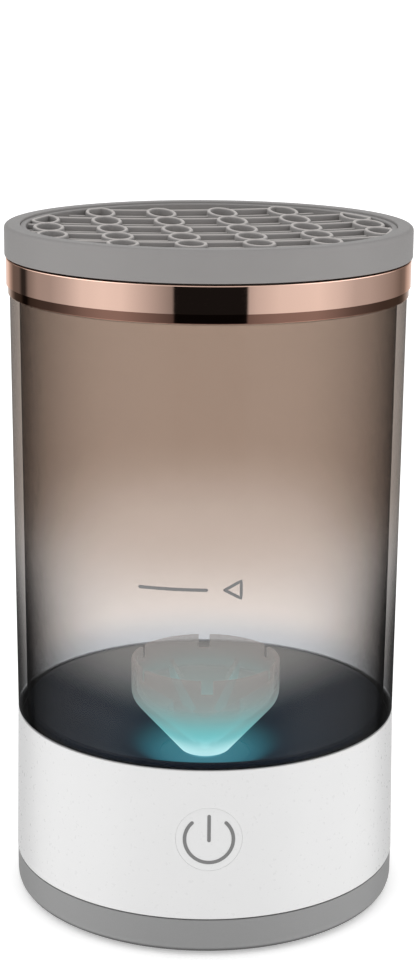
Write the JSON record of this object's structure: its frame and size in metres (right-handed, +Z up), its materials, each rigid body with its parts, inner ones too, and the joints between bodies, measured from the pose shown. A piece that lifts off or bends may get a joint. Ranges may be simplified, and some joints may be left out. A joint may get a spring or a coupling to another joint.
{
  "type": "brush cleaner",
  "caption": "Cylindrical electric makeup brush cleaner: smoked wash tank with an impeller on a white drive base, under a lift-off grey brush holder lid with a rose gold trim ring.",
  "frame": {"origin": "centre of the non-slip ring's underside, on the vertical axis", "axes": "+Z up along the tank's axis, the power button faces -Y, the charging socket faces +Y"},
  "size_m": [0.094, 0.094, 0.1615],
  "materials": {
    "lid_silicone": "matt grey silicone",
    "rose_gold": "mirror-bright rose gold plating",
    "smoked_clear": "clear smoked plastic, gloss",
    "dark_navy": "dark translucent plastic, gloss",
    "glow_lens": "milky window, lit teal from below",
    "impeller_smoke": "translucent smoke-grey moulding",
    "white_gloss": "satin gloss white",
    "foot_grey": "matt mid grey",
    "black_rubber": "matt black",
    "steel": "plain steel",
    "magnet_grey": "dark sintered magnet",
    "bronze": "sintered bronze",
    "copper": "copper segments",
    "board_green": "circuit board",
    "black_plastic": "matt black",
    "cell_wrap": "blue shrink sleeve",
    "red_wire": "red insulation"
  },
  "bodies": {
    "base": {"base_shell": "white_gloss", "bottom_cover": "foot_grey", "non_slip_ring": "black_rubber", "bottom_screw_1": "steel", "bottom_screw_2": "steel", "bottom_screw_3": "steel", "bottom_screw_4": "steel", "tank_wall": "smoked_clear", "trim_ring": "rose_gold", "tank_floor": "dark_navy", "tank_gasket": "black_rubber", "glow_lens": "glow_lens", "shaft_seal": "black_rubber", "motor_can": "steel", "motor_end_bell": "black_plastic", "motor_bush": "bronze", "motor_magnet_left": "magnet_grey", "motor_magnet_right": "magnet_grey", "motor_bracket": "black_plastic", "motor_screw_1": "steel", "motor_screw_2": "steel", "motor_screw_3": "steel", "led_board": "board_green", "led_1": "glow_lens", "led_2": "glow_lens", "led_3": "glow_lens", "led_4": "glow_lens", "tact_switch": "black_plastic", "switch_board": "board_green", "switch_board_screw_1": "steel", "switch_board_screw_2": "steel", "power_board": "board_green", "power_board_screw_1": "steel", "power_board_screw_2": "steel", "usb_socket": "steel", "battery_cell": "cell_wrap", "battery_cable": "red_wire", "motor_cable": "red_wire", "led_cable": "red_wire", "switch_cable": "red_wire"},
    "drive": {"impeller": "impeller_smoke", "motor_shaft": "steel", "motor_rotor": "steel", "motor_commutator": "copper"},
    "lid": {"lid_rim": "lid_silicone", "brush_web": "lid_silicone"},
    "button": {"power_button": "white_gloss", "switch_plunger": "black_plastic"}
  },
  "joints": [
    {"name": "lid_lift", "type": "slide", "parent": "base", "child": "lid", "axis": [0, 0, 1], "range_m": [0, 0.08]},
    {"name": "impeller_spin", "type": "hinge", "parent": "base", "child": "drive", "pos_m": [0, 0, 0.03], "axis": [0, 0, 1], "continuous": true},
    {"name": "button_press", "type": "slide", "parent": "base", "child": "button", "axis": [0, 1, 0], "range_m": [0, 0.0005], "stiffness_N_per_m": 1500}
  ]
}
